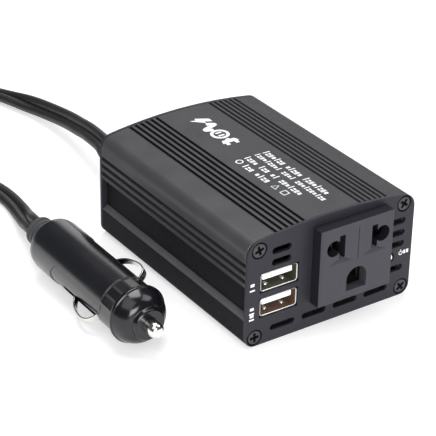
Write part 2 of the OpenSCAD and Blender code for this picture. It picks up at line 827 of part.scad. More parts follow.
module leaf_spring() {
    p = smooth_twice(leaf_line);
    m = len(p);
    edge = [for (i = [0:m - 1]) let (t = unit(p[min(i + 1, m - 1)] - p[max(i - 1, 0)]))
        [-t[1], t[0]] * leaf_t / 2];
    outer = [for (i = [0:m - 1]) p[i] + edge[i]];
    inner = [for (i = [0:m - 1]) p[m - 1 - i] - edge[m - 1 - i]];
    translate([0, 0, -leaf_w / 2]) linear_extrude(leaf_w)
        polygon([for (q = concat(outer, inner)) [q[1], q[0]]]);
}

module side_spring_right() { color("silver") plug_pose() leaf_spring(); }
module side_spring_left() { color("silver") plug_pose() mirror([1, 0, 0]) leaf_spring(); }

upper_case();
lower_case();
front_plate();
rear_plate();
front_screws();
rear_screws();
socket_housing();
socket_contacts();
earth_contact();
usb_shell_upper();
usb_shell_lower();
usb_tongues();
usb_board();
led_bezel();
led_lens();
main_board();
board_screws();
transformer_core();
transformer_winding();
switch_transistors();
heat_pads();
clamp_bars();
clamp_screws();
input_capacitors();
bulk_capacitor();
choke_core();
choke_winding();
control_chips();
fan_frame();
fan_rotor();
fan_screws();
supply_wires();
cord_gland();
cord_lead_out();
cord_coil();
cord_lead_in();
plug_boot();
plug_barrel();
nose_cap();
pin_washer();
centre_pin();
pin_spring();
fuse_glass();
fuse_caps();
fuse_contact();
side_spring_left();
side_spring_right();
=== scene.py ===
"""Looks of a car power inverter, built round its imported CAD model. Metres, in the model's frame."""
import json
import math

import bmesh
import bpy
from mathutils import Matrix, Vector
from mathutils.geometry import delaunay_2d_cdt

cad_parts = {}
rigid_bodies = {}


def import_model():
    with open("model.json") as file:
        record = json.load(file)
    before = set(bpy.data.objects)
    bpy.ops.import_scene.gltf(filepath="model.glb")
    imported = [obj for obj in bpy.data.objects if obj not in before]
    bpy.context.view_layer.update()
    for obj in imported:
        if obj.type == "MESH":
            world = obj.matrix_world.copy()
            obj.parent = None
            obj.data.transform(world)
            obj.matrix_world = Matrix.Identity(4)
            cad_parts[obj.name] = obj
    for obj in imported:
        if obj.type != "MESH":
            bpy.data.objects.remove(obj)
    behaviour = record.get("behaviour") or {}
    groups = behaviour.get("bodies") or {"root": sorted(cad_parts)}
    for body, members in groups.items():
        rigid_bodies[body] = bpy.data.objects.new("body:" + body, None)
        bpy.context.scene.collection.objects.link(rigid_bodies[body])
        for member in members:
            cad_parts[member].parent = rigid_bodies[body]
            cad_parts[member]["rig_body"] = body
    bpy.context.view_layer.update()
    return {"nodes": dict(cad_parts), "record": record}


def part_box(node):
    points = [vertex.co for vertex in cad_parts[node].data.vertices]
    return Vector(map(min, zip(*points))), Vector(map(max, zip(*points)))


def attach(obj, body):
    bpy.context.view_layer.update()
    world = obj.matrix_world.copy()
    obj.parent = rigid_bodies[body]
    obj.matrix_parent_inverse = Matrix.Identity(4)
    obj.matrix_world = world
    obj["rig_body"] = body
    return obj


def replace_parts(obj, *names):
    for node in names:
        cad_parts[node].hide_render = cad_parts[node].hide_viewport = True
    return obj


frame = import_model()
nodes = frame["nodes"]

MM = 0.001
X, Y, Z = Vector((1, 0, 0)), Vector((0, 1, 0)), Vector((0, 0, 1))

# ---------------------------------------------------------------- camera

CAMERA_AT = Vector((-306.1, -421.6, 307.4)) * MM
CAMERA_AZIMUTH, CAMERA_ELEVATION, CAMERA_ROLL = -34.6, 29.105, 1.19
CAMERA_LENS = 148.84


def make_camera():
    azimuth, elevation, roll = (math.radians(a) for a in (CAMERA_AZIMUTH, CAMERA_ELEVATION, CAMERA_ROLL))
    ahead = Vector((-math.sin(azimuth) * math.cos(elevation), math.cos(azimuth) * math.cos(elevation),
                    -math.sin(elevation)))
    level = ahead.cross(Z).normalized()
    right = level * math.cos(roll) + level.cross(ahead) * math.sin(roll)
    up = right.cross(ahead)
    data = bpy.data.cameras.new("camera")
    data.lens = CAMERA_LENS
    data.sensor_width = 36
    data.clip_start, data.clip_end = 0.01, 20
    camera = bpy.data.objects.new("camera", data)
    camera.matrix_world = Matrix((right, up, -ahead)).transposed().to_4x4()
    camera.location = CAMERA_AT
    bpy.context.scene.collection.objects.link(camera)
    bpy.context.scene.camera = camera


make_camera()

# ---------------------------------------------------------------- materials


def shader(name, color, metallic=0.0, roughness=0.5, grain=0.3, grain_depth=0.01, stretch=(1, 1, 1),
           shade=0.12, blotch=12.0, rough_swing=0.06, **sockets):
    """A procedural material: a fine relief of grain-sized bumps, and slow swings of colour and roughness.
    grain and blotch are sizes in millimetres, grain_depth is the relief in millimetres."""
    material = bpy.data.materials.new(name)
    material.use_nodes = True
    tree = material.node_tree
    add, link = tree.nodes.new, tree.links.new
    surface = tree.nodes["Principled BSDF"]
    surface.inputs["Metallic"].default_value = metallic
    for socket, value in sockets.items():
        surface.inputs[socket.replace("_", " ")].default_value = value
    place = add("ShaderNodeTexCoord")
    mapping = add("ShaderNodeMapping")
    mapping.inputs["Scale"].default_value = stretch
    link(place.outputs["Object"], mapping.inputs["Vector"])

    fine = add("ShaderNodeTexNoise")
    fine.inputs["Scale"].default_value = 1 / (grain * MM)
    fine.inputs["Detail"].default_value = 3
    link(mapping.outputs["Vector"], fine.inputs["Vector"])
    bump = add("ShaderNodeBump")
    bump.inputs["Strength"].default_value = 1
    bump.inputs["Distance"].default_value = grain_depth * MM
    link(fine.outputs["Fac"], bump.inputs["Height"])
    link(bump.outputs["Normal"], surface.inputs["Normal"])

    slow = add("ShaderNodeTexNoise")
    slow.inputs["Scale"].default_value = 1 / (blotch * MM)
    slow.inputs["Detail"].default_value = 4
    link(place.outputs["Object"], slow.inputs["Vector"])
    mixed = add("ShaderNodeMix")
    mixed.data_type = "RGBA"
    mixed.inputs[6].default_value = (*(c * (1 - shade) for c in color), 1)
    mixed.inputs[7].default_value = (*(min(c * (1 + shade), 1) for c in color), 1)
    both = add("ShaderNodeMath")
    both.operation = "ADD"
    half = add("ShaderNodeMath")
    half.operation = "MULTIPLY"
    half.inputs[1].default_value = 0.5
    link(fine.outputs["Fac"], both.inputs[0])
    link(slow.outputs["Fac"], both.inputs[1])
    link(both.outputs[0], half.inputs[0])
    link(half.outputs[0], mixed.inputs["Factor"])
    link(mixed.outputs[2], surface.inputs["Base Color"])
    swing = add("ShaderNodeMapRange")
    swing.inputs["To Min"].default_value = roughness - rough_swing
    swing.inputs["To Max"].default_value = roughness + rough_swing
    link(slow.outputs["Fac"], swing.inputs["Value"])
    link(swing.outputs["Result"], surface.inputs["Roughness"])
    return material


DULL_EDGE = (0.12, 0.12, 0.12, 1)
MATERIALS = {
    # These three are lit and shaded copies of one anodised finish. The upper half's copy is lighter, painted
    # light on a roof that faces the lamps; the lower half's copy is darker, and it also paints shade on the
    # upper half's recessed walls.
    "anodised_top": shader("anodised_top", (0.1, 0.1, 0.106), 0.6, 0.42, grain=0.22, grain_depth=0.009,
                           stretch=(1, 0.35, 1), shade=0.25, blotch=9, Specular_IOR_Level=0.2,
                           Specular_Tint=DULL_EDGE),
    "anodised_base": shader("anodised_base", (0.032, 0.032, 0.037), 0.7, 0.44, grain=0.22, grain_depth=0.007,
                            stretch=(1, 0.35, 1), shade=0.25, blotch=9, Specular_IOR_Level=0.1,
                            Specular_Tint=DULL_EDGE),
    # Lighter still: painted light on the upward faces of the lower half.
    "anodised_painted_light": shader("anodised_painted_light", (0.17, 0.17, 0.18), 0.6, 0.4, grain=0.22, grain_depth=0.009,
                            stretch=(1, 0.35, 1), shade=0.25, blotch=9, Specular_IOR_Level=0.2,
                            Specular_Tint=DULL_EDGE),
    "plate": shader("plate", (0.02, 0.0195, 0.027), 0, 0.52, grain=0.3, grain_depth=0.012, shade=0.2,
                    Specular_IOR_Level=0.3),
    "socket_plastic": shader("socket_plastic", (0.058, 0.057, 0.067), 0, 0.55, grain=0.28, grain_depth=0.014,
                             shade=0.15, Specular_IOR_Level=0.15),
    # A darker copy of socket_plastic: painted shade for the block's sides and the walls of its openings.
    "socket_shade": shader("socket_shade", (0.014, 0.014, 0.018), 0, 0.62, grain=0.28, grain_depth=0.02,
                           shade=0.2, Specular_IOR_Level=0.1),
    # Black for the lamp's ring, and painted shade in the screws' cross recesses and in the gaps round their
    # heads.
    "black_and_painted_shade": shader("black_and_painted_shade", (0.004, 0.004, 0.005), 0, 0.65, grain=0.3, grain_depth=0.006,
                         Specular_IOR_Level=0.1),
    "screw_black": shader("screw_black", (0.075, 0.075, 0.08), 0.8, 0.36, grain=0.3, grain_depth=0.006,
    shade=0.3),
    # Brass darkened almost to black: painted shade on contacts that sit deep in the socket and the ports.
    "brass": shader("brass", (0.08, 0.06, 0.035), 1, 0.45, grain=0.4, grain_depth=0.003),
    "tinplate": shader("tinplate", (0.66, 0.65, 0.62), 1, 0.26, grain=0.5, grain_depth=0.003, blotch=4),
    # Dark copies of the tinplate for the ports' insides: painted shade, olive for the upper port and brown for
    # the lower.
    "tinplate_olive_painted_shade": shader("tinplate_olive_painted_shade", (0.05, 0.047, 0.03), 0.3, 0.5, grain=0.6, grain_depth=0.02,
    blotch=1.5,
                             shade=0.45),
    "tinplate_brown_painted_shade": shader("tinplate_brown_painted_shade", (0.1, 0.055, 0.035), 0.3, 0.5, grain=0.6, grain_depth=0.02,
    blotch=1.5,
                             shade=0.45),
    # The tongues' faint glow is painted light; their white is their own.
    "usb_plastic": shader("usb_plastic", (0.95, 0.95, 0.95), 0, 0.45, grain=0.3, grain_depth=0.004,
    shade=0.02,
                          Emission_Color=(1, 1, 1, 1), Emission_Strength=0.3),
    "bezel": shader("bezel", (0.012, 0.012, 0.014), 0, 0.28, grain=0.3, grain_depth=0.004),
    "led": shader("led", (0.92, 0.94, 0.92), 0, 0.18, grain=0.4, grain_depth=0.002, shade=0.02,
                  Emission_Color=(1, 1, 1, 1), Emission_Strength=0.35),
    "circuit_board": shader("circuit_board", (0.02, 0.12, 0.045), 0, 0.35, grain=0.5, grain_depth=0.006,
    blotch=3,
                            shade=0.3),
    "ferrite": shader("ferrite", (0.05, 0.05, 0.055), 0, 0.7, grain=0.2, grain_depth=0.02),
    "coil_tape": shader("coil_tape", (0.75, 0.5, 0.1), 0, 0.25, grain=1.5, grain_depth=0.02,
    stretch=(1, 1, 4)),
    "component_black": shader("component_black", (0.02, 0.02, 0.022), 0, 0.55, grain=0.2, grain_depth=0.012),
    "heat_pad": shader("heat_pad", (0.3, 0.36, 0.42), 0, 0.8, grain=0.3, grain_depth=0.02),
    "capacitor": shader("capacitor", (0.02, 0.03, 0.13), 0, 0.3, grain=0.6, grain_depth=0.006),
    "powder_core": shader("powder_core", (0.08, 0.28, 0.12), 0, 0.4, grain=0.4, grain_depth=0.01),
    "copper": shader("copper", (0.72, 0.3, 0.12), 1, 0.25, grain=0.3, grain_depth=0.003),
    "fan_plastic": shader("fan_plastic", (0.015, 0.015, 0.017), 0, 0.5, grain=0.25, grain_depth=0.012),
    "wire": shader("wire", (0.45, 0.03, 0.03), 0, 0.4, grain=0.5, grain_depth=0.006),
    "cord_rubber": shader("cord_rubber", (0.009, 0.009, 0.01), 0, 0.5, grain=0.6, grain_depth=0.015,
    blotch=6),
    "boot_rubber": shader("boot_rubber", (0.045, 0.045, 0.05), 0, 0.55, grain=0.25, grain_depth=0.012,
    blotch=5),
    "plug_gloss": shader("plug_gloss", (0.005, 0.005, 0.007), 0, 0.19, grain=1.8, grain_depth=0.004,
    blotch=14,
                         rough_swing=0.03, shade=0.25, Specular_IOR_Level=0.52),
    "plug_satin": shader("plug_satin", (0.006, 0.006, 0.008), 0, 0.23, grain=0.35, grain_depth=0.007,
    blotch=11,
                         rough_swing=0.06, shade=0.25, Specular_IOR_Level=0.85),
    # Lighter than the barrel: a painted highlight along the barrel's rounded edges.
    "plug_painted_highlight": shader("plug_painted_highlight", (0.05, 0.05, 0.056), 0, 0.2, grain=0.4, grain_depth=0.004, blotch=3),
    "nickel": shader("nickel", (0.8, 0.78, 0.74), 1, 0.14, grain=0.6, grain_depth=0.004, blotch=3,
    shade=0.06),
    "fibre": shader("fibre", (0.35, 0.16, 0.08), 0, 0.75, grain=0.3, grain_depth=0.02),
    "fuse_glass": shader("fuse_glass", (0.85, 0.9, 0.9), 0, 0.06, grain=2, grain_depth=0.002,
    rough_swing=0.02,
                         Transmission_Weight=0.9),
    "print": shader("print", (0.85, 0.85, 0.86), 0, 0.5, grain=0.12, grain_depth=0.006, shade=0.1,
    blotch=1.2),
    "tie": shader("tie", (0.015, 0.015, 0.016), 0, 0.35, grain=0.3, grain_depth=0.01),
}

SLOT_OF = {entry["node"]: entry["material_slot"] for entry in frame["record"]["subparts"]}
for node_name, node in nodes.items():
    node.data.materials.clear()
    node.data.materials.append(MATERIALS[SLOT_OF[node_name]])

# ---------------------------------------------------------------- building pieces


def finish_piece(bm, name, body, material, smooth=32, keep=True, second=None):
    """Turns a bmesh into a piece that rides on a body, smooth but for edges sharper than the angle.
    Faces whose material_index is 1 take the second material."""
    mesh = bpy.data.meshes.new(name)
    bmesh.ops.recalc_face_normals(bm, faces=bm.faces)
    bm.to_mesh(mesh)
    bm.free()
    mesh.materials.append(MATERIALS[material])
    if second:
        mesh.materials.append(MATERIALS[second])
    mesh.shade_smooth()
    mesh.set_sharp_from_angle(angle=math.radians(smooth))
    piece = bpy.data.objects.new(name, mesh)
    bpy.context.scene.collection.objects.link(piece)
    if keep:
        weights = piece.modifiers.new("face_weights", "WEIGHTED_NORMAL")
        weights.keep_sharp = True
    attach(piece, body)
    return piece


def ring_faces(bm, rings, closed=True):
    """Faces between one ring of vertices and the next, returned as a list."""
    count = len(rings[0])
    made = []
    for lower, upper in zip(rings, rings[1:]):
        for i in range(count if closed else count - 1):
            k = (i + 1) % count
            made.append(bm.faces.new((lower[i], lower[k], upper[k], upper[i])))
    return made


def rounded(points, radius, least_turn=25, steps=3, closed=True):
    """The outline with each sharp corner replaced by a small arc."""
    made = []
    count = len(points)
    for i, here in enumerate(points):
        if not closed and i in (0, count - 1):
            made.append(here)
            continue
        before, after = points[i - 1] - here, points[(i + 1) % count] - here
        turn = math.pi - before.angle(after)
        if math.degrees(turn) < least_turn:
            made.append(here)
            continue
        reach = min(radius * math.tan(turn / 2), 0.45 * before.length, 0.45 * after.length)
        start, end = here + before.normalized() * reach, here + after.normalized() * reach
        for step in range(steps + 1):
            t = step / steps
            made.append(start * (1 - t) ** 2 + here * 2 * t * (1 - t) + end * t ** 2)
    return made


def round_box(width, height, radius, steps=6):
    """A rounded rectangle about the origin, counter-clockwise."""
    made = []
    for cx, cy, start in ((1, 1, 0), (-1, 1, 90), (-1, -1, 180), (1, -1, 270)):
        for i in range(steps + 1):
            a = math.radians(start + 90 * i / steps)
            made.append(Vector((cx * (width / 2 - radius) + radius * math.cos(a),
                                cy * (height / 2 - radius) + radius * math.sin(a), 0)))
    return made


def lathe(name, profile, body, material, place=None, count=96, rounding=0.25):
    """A turned piece. profile holds (radius, distance along the axis) in millimetres."""
    outline = rounded([Vector((r, s, 0)) * MM for r, s in profile], rounding * MM, steps=4, closed=False)
    bm = bmesh.new()
    rings = []
    for point in outline:
        rings.append([
            bm.verts.new((max(point.x, 1e-6) * math.cos(a), point.y, max(point.x, 1e-6) * math.sin(a)))
            for a in (2 * math.pi * i / count for i in range(count))
        ])
    ring_faces(bm, rings)
    if profile[0] == profile[-1]:
        pass
    else:
        for ring in (rings[0], rings[-1]):
            bm.faces.new(ring)
    bmesh.ops.remove_doubles(bm, verts=bm.verts, dist=5e-6)
    if place is not None:
        bm.transform(place)
    return finish_piece(bm, name, body, material)


def loops_at(node, y):
    """The closed outlines of a CAD node's flat face at that y, as (x, z) points in order."""
    mesh = nodes[node].data
    near = {v.index: (round(v.co.x, 7), round(v.co.z, 7)) for v in mesh.vertices if abs(v.co.y - y) < 2e-6}
    edges = {}
    for polygon in mesh.polygons:
        if all(v in near for v in polygon.vertices):
            corners = [near[v] for v in polygon.vertices]
            for a, b in zip(corners, corners[1:] + corners[:1]):
                if (b, a) in edges:
                    del edges[b, a]
                else:
                    edges[a, b] = True
    follow = {a: b for a, b in edges}
    loops = []
    while follow:
        start, here = follow.popitem()
        loop = [start]
        while here != start:
            loop.append(here)
            here = follow.pop(here)
        loops.append([Vector((x, z, 0)) for x, z in loop])
    return loops


def turned_left(loop):
    """Twice the outline's area, positive when it runs counter-clockwise."""
    return sum(a.x * b.y - a.y * b.x for a, b in zip(loop, loop[1:] + loop[:1]))


def inset(loop, distance):
    """The outline moved towards its left by that distance."""
    moved = []
    for before, here, after in zip(loop[-1:] + loop[:-1], loop, loop[1:] + loop[:1]):
        a, b = (here - before).normalized(), (after - here).normalized()
        normal = Vector((-a.y - b.y, a.x + b.x, 0)).normalized()
        stretch = max(normal.dot(Vector((-a.y, a.x, 0))), 0.4)
        moved.append(here + normal * distance / stretch)
    return moved


def within(spot, loop):
    """Whether a flat point is inside an outline."""
    crossed = False
    for a, b in zip(loop, loop[1:] + loop[:1]):
        if (a.y > spot.y) != (b.y > spot.y) and spot.x < a.x + (spot.y - a.y) / (b.y - a.y) * (b.x - a.x):
            crossed = not crossed
    return crossed


def fill(bm, outer, holes):
    """Triangles between an outer ring of vertices and the rings of holes, all at one Y."""
    rings = [outer, *holes]
    corners = [v for ring in rings for v in ring]
    spots = [Vector((v.co.x, v.co.z)) / MM for v in corners]
    loops, edges, start = [], [], 0
    for ring in rings:
        edges += [(start + i, start + (i + 1) % len(ring)) for i in range(len(ring))]
        loops.append(spots[start:start + len(ring)])
        start += len(ring)
    places, _, faces, origins, _, _ = delaunay_2d_cdt(spots, edges, [], 1, 1e-5)
    used = [corners[origin[0]] if origin else bm.verts.new((place.x * MM, outer[0].co.y, place.y * MM))
            for place, origin in zip(places, origins)]
    for face in faces:
        middle = sum((places[i] for i in face), Vector((0, 0))) / 3
        if within(middle, loops[0]) and not any(within(middle, loop) for loop in loops[1:]):
            bm.faces.new([used[i] for i in face])


def prism(bm, loops, y0, y1, rim, edge, sink=None):
    """A flat plate or an extrusion from y0 to y1, its outline's edges softened by rim and its holes' by edge.
    sink maps an outline's number to (its far radius, the y where it gets there), for a countersink."""
    largest = max(range(len(loops)), key=lambda i: abs(turned_left(loops[i])))
    near, far = [], []
    for i, loop in enumerate(loops):
        if (turned_left(loop) > 0) != (i == largest):
            loop = loop[::-1]
        bevel = rim if i == largest else edge
        soft = inset(loop, bevel)
        levels = [(soft, y0), (loop, y0 + bevel * math.copysign(1, y1 - y0))]
        if sink and i in sink:
            radius, y = sink[i]
            centre = sum(loop, Vector()) / len(loop)
            small = [centre + (p - centre).normalized() * radius for p in loop]
            levels += [(small, y), (small, y1)]
        else:
            levels += [(loop, y1 - bevel * math.copysign(1, y1 - y0)), (soft, y1)]
        rings = [[bm.verts.new((p.x, y, p.y)) for p in outline] for outline, y in levels]
        wall = ring_faces(bm, rings)
        if sink and i in sink:
            for face in wall[len(loop):]:
                face.material_index = 1
        near.append(rings[0])
        far.append(rings[-1])
    for cap in (near, far):
        fill(bm, cap[largest], cap[:largest] + cap[largest + 1:])


def softened(node, width, name, material=None, least_turn=30, edge_highlight=None, merge=0.001):
    """A copy of a CAD node with its sharp edges rounded, which stands for the node.

    The rounded edges take the second material when one is given: a lighter colour that paints a highlight
    along them.
    Corners closer than merge are joined first, so that no tiny edge limits the rounding."""
    bm = bmesh.new()
    bm.from_mesh(nodes[node].data)
    bmesh.ops.remove_doubles(bm, verts=bm.verts, dist=merge * MM)
    bmesh.ops.dissolve_limit(bm, angle_limit=math.radians(0.5), verts=bm.verts, edges=bm.edges)
    sharp = [e for e in bm.edges if len(e.link_faces) == 2
    and e.calc_face_angle(0) > math.radians(least_turn)]
    made = bmesh.ops.bevel(bm, geom=sharp, offset=width * MM, offset_type="OFFSET", segments=2, profile=0.5,
                           affect="EDGES", clamp_overlap=merge < width)
    if edge_highlight:
        for face in made["faces"]:
            face.material_index = 1
    piece = finish_piece(bm, name, nodes[node]["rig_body"], material or SLOT_OF[node],
                         second=edge_highlight)
    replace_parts(piece, node)
    return piece


# ---------------------------------------------------------------- cord

CORD_WIDTH, CORD_THICKNESS = 7, 3.5
COIL_CENTRE, COIL_RADIUS = (-74.5, 147), 36
ROUTE_OUT = [
    (-15, 62, 14), (-14.6, 67, 14.1), (-13, 74, 14.1), (-11, 80.6, 13.8), (-9.3, 90, 12.6),
    (-8.2, 96.6, 11.5), (-7.4, 102.9, 10.2), (-6.6, 109.2, 9), (-6, 115.3, 7.8), (-5.8, 122, 6.6),
    (-5.9, 128.5, 5.5), (-6.4, 134, 4.8), (-7.3, 140, 4.1), (-9.3, 149, 3.2), (-12, 158, 2.4),
    (-16.3, 166.2, 1.9), (-22.8, 173.3, 1.75), (-32, 178.8, 1.75), (-43, 182.2, 1.75),
    (-54, 183.5, 1.75), (-65, 183.4, 1.75), (-74.5, 183, 1.75),
]
ROUTE_IN = [
    (-74.5, 111, 5.25), (-66, 109.5, 5), (-58.4, 105.2, 4), (-52.9, 98.5, 2.6),
    (-49.9, 90.4, 1.85), (-49.2, 82, 1.75), (-49.9, 74, 2), (-51.8, 66, 3.2),
    (-54.3, 58.5, 5.7), (-56.6, 51.5, 8.3), (-57.8, 46.5, 9.6), (-58, 43.3, 9.9),
]
# The flat of the cord turns this way where it hangs between the ground and the boots
LEAN = Vector((-0.5, -0.72, 0.485))


def coil_points():
    """One and a half turns: the first lies on the ground, and the last half turn on top of it."""
    start, turn, steps, climb_from, climb_to = 90, 540, 72, 335, 450
    made = []
    for i in range(1, steps):
        angle = start + turn * i / steps
        t = min(max((angle - climb_from) / (climb_to - climb_from), 0), 1)
        height = CORD_THICKNESS / 2 + CORD_THICKNESS * t * t * (3 - 2 * t)
        a = math.radians(angle)
        made.append((COIL_CENTRE[0] + COIL_RADIUS * math.cos(a), COIL_CENTRE[1] + COIL_RADIUS * math.sin(a),
        height))
    return made


def smooth_route(points, between=3):
    """More points on a smooth curve through the route's own."""
    points = [Vector(p) * MM for p in points]
    made = []
    for i in range(len(points) - 1):
        a, b, c, d = points[max(i - 1, 0)], points[i], points[i + 1], points[min(i + 2, len(points) - 1)]
        for k in range(between):
            t = k / between
            made.append(0.5 * (2 * b + (c - a) * t + (2 * a - 5 * b + 4 * c - d) * t ** 2
                               + (3 * b - a - 3 * c + d) * t ** 3))
    return made + [points[-1]]


def twin_section():
    """The cord's section: two round cores joined by a thin web, as (across, up) in metres."""
    radius = CORD_THICKNESS / 2
    centre = CORD_WIDTH / 2 - radius
    right = [(centre + radius * math.cos(a), radius * math.sin(a))
             for a in (math.radians(-158 + 316 * i / 14) for i in range(15))]
    left = [(-x, -y) for x, y in right]
    return [Vector((x, y, 0)) * MM for x, y in right + left]


def roll_at(p):
    """How far the cord's flat has turned at a point: 0 on the ground and in the coil, 1 near the boots."""
    if p.x > -40:
        t = (p.z - 2.2) / 2.4
    else:
        t = (80 - p.y) / 30
    t = min(max(t, 0), 1)
    return t * t * (3 - 2 * t)


def make_cord():
    path = smooth_route(ROUTE_OUT + coil_points() + ROUTE_IN)
    section = twin_section()
    turned = [roll_at(p / MM) for p in path]
    bm = bmesh.new()
    rings = []
    for i, point in enumerate(path):
        along = (path[min(i + 1, len(path) - 1)] - path[max(i - 1, 0)]).normalized()
        across = along.cross(Z.lerp(LEAN, turned[i])).normalized()
        up = across.cross(along)
        rings.append([bm.verts.new(point + across * p.x + up * p.y) for p in section])
    ring_faces(bm, rings)
    for ring in (rings[0], rings[-1]):
        bm.faces.new(ring)
    cord = finish_piece(bm, "flat_cord", "inverter", "cord_rubber", smooth=50, keep=False)
    length = sum((b - a).length for a, b in zip(path, path[1:]))
    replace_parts(cord, "cord_lead_out", "cord_coil", "cord_lead_in")
    return cord, path, length


cord, cord_path, cord_length = make_cord()


def make_tie():
    """A tie round both turns of the coil, with its lock on top."""
    low, high, half, width = 0.45, 6.5, 3.3, 1.3
    bm = bmesh.new()
    centre = Vector((COIL_CENTRE[0] - COIL_RADIUS, COIL_CENTRE[1], (low + high) / 2))
    rings = []
    for grow, along in ((0, -width), (0.2, -width), (0.45, -width + 0.2), (0.45, width - 0.2), (0.2, width),
    (0, width)):
        rings.append([bm.verts.new((centre + Vector((p.x, along, p.y))) * MM)
                      for p in round_box(2 * (half + grow), high - low + 2 * grow, 1.6 + grow)])
    ring_faces(bm, rings + rings[:1])
    lock = Matrix.Translation((centre + Vector((-0.6, 0, (high - low) / 2 + 0.8))) * MM)
    made = bmesh.ops.create_cube(bm, size=1, matrix=lock @ Matrix.Diagonal((3.4 * MM, 4 * MM, 1.8 * MM, 1)))
    bmesh.ops.bevel(bm, geom=list({e for v in made["verts"] for e in v.link_edges}), offset=0.35 * MM,
        segments=3,
                    affect="EDGES", profile=0.5)
    return finish_piece(bm, "cord_tie", "inverter", "tie")


make_tie()

# ---------------------------------------------------------------- casing and plates

def recessed(face, high):
    """A side face set back from the casing's full width."""
    x = face.calc_center_median().x
    return abs(face.normal.x) > 0.9 and x * face.normal.x > 0 and abs(x) < high.x - 1 * MM


def upward(face, high):
    return face.normal.z > 0.5


def make_casing(node, name, chosen, second):
    """An extruded half of the casing; the chosen faces take the second material."""
    low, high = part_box(node)
    loops = [rounded(loop, 0.22 * MM) for loop in loops_at(node, low.y)]
    bm = bmesh.new()
    prism(bm, loops, low.y + 0.02 * MM, high.y - 0.02 * MM, 0.12 * MM, 0.05 * MM)
    bmesh.ops.recalc_face_normals(bm, faces=bm.faces)
    for face in bm.faces:
        face.material_index = 1 if chosen(face, high) else 0
    piece = finish_piece(bm, name, "inverter", SLOT_OF[node], second=second)
    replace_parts(piece, node)
    return piece


def make_plate(node, name, face_y, back_y):
    """An end plate; its round outlines of a screw head's size are countersunk."""
    loops = loops_at(node, face_y)
    sink = {}
    for i, loop in enumerate(loops):
        centre = sum(loop, Vector()) / len(loop)
        radius = max((p - centre).length for p in loop)
        if abs(radius - 2.9 * MM) < 0.1 * MM:
            sink[i] = (1.6 * MM, face_y + (back_y - face_y) * 0.9)
    bm = bmesh.new()
    prism(bm, loops, face_y, back_y, 0.16 * MM, 0.1 * MM, sink)
    # The countersinks' walls take the second, black material: a painted shadow in the gap round each screw
    # head.
    piece = finish_piece(bm, name, "inverter", "plate", second="black_and_painted_shade")
    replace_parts(piece, node)
    return piece


# The upper half's recessed side walls take the darker finish, painted shade under the overhang; the lower
# half's upward faces take a lighter copy, painted light.
make_casing("upper_case", "casing_top", recessed, "anodised_base")
make_casing("lower_case", "casing_tray", upward, "anodised_painted_light")
front_low, front_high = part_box("front_plate")
rear_low, rear_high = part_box("rear_plate")
make_plate("front_plate", "end_plate_front", front_low.y, front_high.y)
make_plate("rear_plate", "end_plate_rear", rear_high.y, rear_low.y)

# ---------------------------------------------------------------- screws

SCREWS = [(-28.1, 34.07), (28.1, 34.07), (-29, 3.19), (29, 3.19)]
FAN_AT, FAN_SCREW = (10, 19.5), 12


def circle(radius, count=40):
    return [Vector((radius * math.cos(a), radius * math.sin(a), 0))
    for a in (2 * math.pi * i / count for i in range(count))]


def cross_outline(reach, width):
    """A plus sign, as twelve corners."""
    r, w = reach, width / 2
    return [Vector((x, y, 0)) for x, y in (
        (r, -w), (r, w), (w, w), (w, r), (-w, r), (-w, w), (-r, w), (-r, -w), (-w, -w), (-w, -r), (w, -r),
        (w, -w))]


def add_screw(bm, at, y, inward, turn):
    """A countersunk cross-head screw whose head faces away from inward along Y."""
    spin = Matrix.Rotation(math.radians(turn), 3, "Z")

    def ring(outline, depth):
        return [bm.verts.new((at[0] * MM + p.x * MM, y + inward * depth * MM, at[1] * MM + p.y * MM))
        for p in outline]

    head = [ring(circle(r), d) for r, d in (
        (1.95, 0.12), (2.15, 0.12), (2.3, 0.2), (2.36, 0.34), (2.3, 0.5), (1.45, 1.36), (1.45, 8.6),
        (0.9, 9))]
    ring_faces(bm, head)
    bm.faces.new(head[-1])
    # The cross recess takes the second material: painted shade down in the recess.
    recess = [ring([spin @ (p * k) for p in rounded(cross_outline(1.62, 0.92), 0.14)], d)
              for k, d in ((1.04, 0.12), (1, 0.2), (0.72, 0.95), (0.3, 1.05))]
    for face in ring_faces(bm, recess) + [bm.faces.new(recess[-1])]:
        face.material_index = 1
    fill(bm, head[0], [recess[0]])


def make_screws(node, name, places, y, inward):
    bm = bmesh.new()
    for i, at in enumerate(places):
        add_screw(bm, at, y, inward, 17 + 37 * i)
    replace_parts(finish_piece(bm, name, "inverter", "screw_black", keep=False, second="black_and_painted_shade"), node)


make_screws("front_screws", "front_screw_heads", SCREWS, front_low.y, 1)
make_screws("rear_screws", "rear_screw_heads", SCREWS, rear_high.y, -1)
make_screws("fan_screws", "fan_screw_heads", [
    (FAN_AT[0] + sx * FAN_SCREW, FAN_AT[1] + sz * FAN_SCREW) for sx in (-1, 1) for sz in (-1, 1)],
    rear_high.y, -1)

# ---------------------------------------------------------------- socket, ports and lamp

SOCKET_X, EARTH_TOP = 6.3, 20.3


def in_earth_opening(p):
    """The walls of the round-topped opening keep the colour of the block's face, without the painted shade."""
    return abs(p.x - SOCKET_X) < 4.2 and p.z < EARTH_TOP and p.y < front_low.y / MM - 0.5 and p.z > 12


socket_block = softened("socket_housing", 0.22, "socket_block")
# The block's faces that don't face forward, its openings' walls among them, take a darker copy of its plastic:
# painted shade. The earth opening's walls are spared.
socket_block.data.materials.append(MATERIALS["socket_shade"])
for polygon in socket_block.data.polygons:
    if abs(polygon.normal.y) < 0.3 and not in_earth_opening(polygon.center / MM):
        polygon.material_index = 1
softened("socket_contacts", 0.08, "socket_springs")
softened("earth_contact", 0.08, "earth_spring")

PORT_X, PORT_Z = -20.2, (22.2, 13.3)
SHELL_WIDTH, SHELL_HEIGHT, SHELL_SKIN = 13.2, 5.7, 0.35


def on_plate(x, depth, z):
    """A point in metres, at that depth in millimetres behind the front plate's face."""
    return Vector((x * MM, front_low.y + depth * MM, z * MM))


